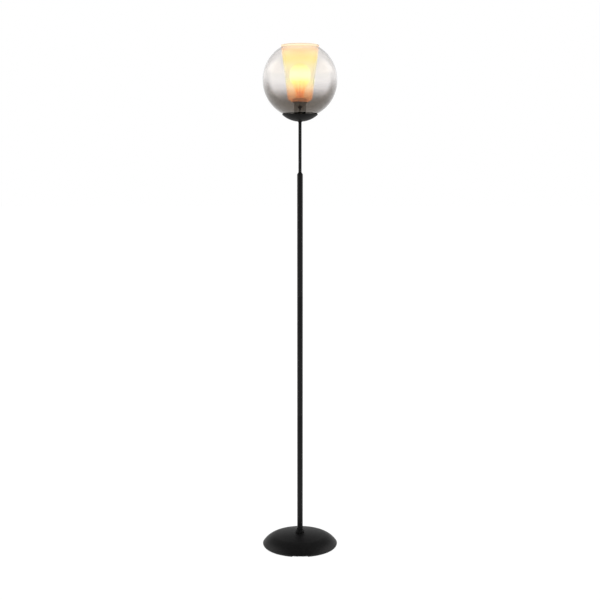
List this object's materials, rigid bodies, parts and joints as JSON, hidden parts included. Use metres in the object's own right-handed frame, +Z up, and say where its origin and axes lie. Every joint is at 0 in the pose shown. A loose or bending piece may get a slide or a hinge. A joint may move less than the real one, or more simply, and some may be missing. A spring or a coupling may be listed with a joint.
{
  "type": "globe floor lamp",
  "caption": "Floor lamp: round domed base, slim stepped pole, shallow dish, smoked glass globe open at the top round a frosted inner cone and a screw-in bulb.",
  "frame": {"origin": "on the floor, at the centre of the round base, under the pole's axis", "axes": "+Z up along the pole, -Y towards the front, where the base has its notch for the lead"},
  "size_m": [0.2418, 0.2418, 1.5998],
  "materials": {
    "powder_coat": "fine matte black powder coat on steel",
    "cast_weight": "rough sand casting",
    "plated_steel": "zinc plated",
    "foam_pad": "closed-cell foam sheet",
    "white_nylon": "moulded",
    "brass_contacts": "stamped",
    "black_plastic": "moulded, lightly textured",
    "white_ceramic": "moulded insulating core",
    "soft_rubber": "soft washer",
    "smoked_glass": "blown, smoke-grey towards the bottom and clear towards the top",
    "frosted_glass": "blown, acid-frosted",
    "bulb_metal": "stamped and rolled, nickel washed",
    "black_glass": "black insulating glass",
    "amber_glass": "amber tinted",
    "clear_glass": "drawn clear glass",
    "glowing_filament": "glowing",
    "support_wire": "drawn wire",
    "cable_sheath": "extruded",
    "wire_sheath": "extruded"
  },
  "bodies": {
    "lamp": {"base_shell": "powder_coat", "foot_collar": "powder_coat", "pole_section_lower": "powder_coat", "pole_section_middle": "powder_coat", "pole_section_upper": "powder_coat", "reducer_cone": "powder_coat", "upper_tube": "powder_coat", "under_nut": "powder_coat", "dish": "powder_coat", "base_weight": "cast_weight", "bottom_plate": "plated_steel", "plate_screws": "plated_steel", "base_stud": "plated_steel", "base_washer": "plated_steel", "lock_washer": "plated_steel", "base_nut": "plated_steel", "pole_plugs": "plated_steel", "pole_studs": "plated_steel", "dish_washer": "plated_steel", "dish_nut": "plated_steel", "floor_pad": "foam_pad", "terminal_block": "white_nylon", "clamp_screws": "brass_contacts", "holder_cup": "black_plastic", "holder_skirt": "black_plastic", "globe_ring": "black_plastic", "cone_ring_lower": "black_plastic", "cone_ring_upper": "black_plastic", "holder_core": "white_ceramic", "screw_shell": "brass_contacts", "centre_contact": "brass_contacts", "side_contact": "brass_contacts", "terminal_screws": "brass_contacts", "globe_gasket": "soft_rubber", "ring_gasket": "soft_rubber", "globe_glass": "smoked_glass", "inner_cone": "frosted_glass", "inner_cable": "cable_sheath", "base_wires": "wire_sheath", "holder_wires": "wire_sheath"},
    "bulb": {"bulb_contact": "bulb_metal", "bulb_insulator": "black_glass", "bulb_cap": "bulb_metal", "bulb_glass": "amber_glass", "bulb_stem": "clear_glass", "filaments": "glowing_filament", "support_wires": "support_wire"}
  },
  "joints": [
    {"name": "bulb_lift", "type": "slide", "parent": "lamp", "child": "bulb", "axis": [0, 0, 1], "range_m": [0, 0.23]}
  ]
}
